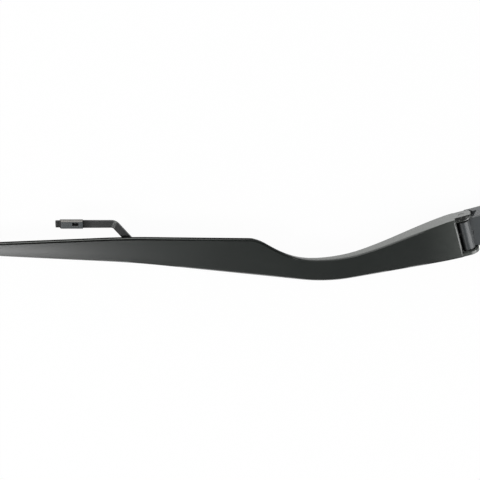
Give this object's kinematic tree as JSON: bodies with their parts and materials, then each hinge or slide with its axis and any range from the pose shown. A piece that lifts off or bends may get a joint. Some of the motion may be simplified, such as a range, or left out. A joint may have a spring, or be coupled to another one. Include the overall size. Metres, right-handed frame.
{
  "type": "windscreen wiper arm",
  "caption": "Windscreen wiper arm: cast channel arm with trailing fin, hinged on a spindle head, spring and C-link inside, cranked strip with blade connector.",
  "frame": {"origin": "on the spindle axis, where the spindle taper meets the parallel bore", "axes": "X along the arm, whose tip points to -X; +Z away from the glass, so -Z is the way the spindle leaves its bore; Y across the arm, with the leading edge and the blade on the +Y side"},
  "size_m": [0.61, 0.1578, 0.0319],
  "materials": {
    "arm_casting": "satin black paint over die-cast aluminium",
    "head_casting": "satin black paint over die-cast aluminium",
    "cap_plastic": "matte black moulding",
    "bush_plastic": "smooth bearing plastic",
    "pin_steel": "ground steel pin",
    "link_steel": "phosphated stamped steel",
    "spring_steel": "oiled spring wire",
    "strip_steel": "satin black painted steel bar",
    "rivet_steel": "painted steel rivet",
    "connector_plastic": "dark grey moulding"
  },
  "bodies": {
    "head": {"mount_head": "head_casting", "nut_cap": "cap_plastic", "knuckle_bush_left": "bush_plastic", "knuckle_bush_right": "bush_plastic", "link_pin": "pin_steel"},
    "arm": {"arm_channel": "arm_casting", "hinge_pin": "pin_steel", "anchor_pin": "pin_steel", "blade_strip": "strip_steel", "strip_rivet_front": "rivet_steel", "strip_rivet_rear": "rivet_steel", "blade_connector": "connector_plastic"},
    "link": {"spring_link": "link_steel"},
    "spring": {"tension_spring": "spring_steel"}
  },
  "joints": [
    {"name": "arm_fold", "type": "hinge", "parent": "head", "child": "arm", "pos_m": [-0.062, 0, 0.004], "axis": [0, 1, 0], "range_deg": [0, 80], "deforming": ["tension_spring"]},
    {"name": "link_swing", "type": "hinge", "parent": "head", "child": "link", "pos_m": [-0.0595, 0, -0.005], "axis": [0, 1, 0], "range_deg": [0, 75]},
    {"name": "spring_tilt", "type": "hinge", "parent": "arm", "child": "spring", "pos_m": [-0.146, 0, 0.0045], "axis": [0, 1, 0], "range_deg": [-7, 0]}
  ],
  "couplings": [
    {"joint": "link_swing", "follows": "arm_fold", "ratio": 0.9186},
    {"joint": "spring_tilt", "follows": "arm_fold", "ratio": -0.0814}
  ]
}
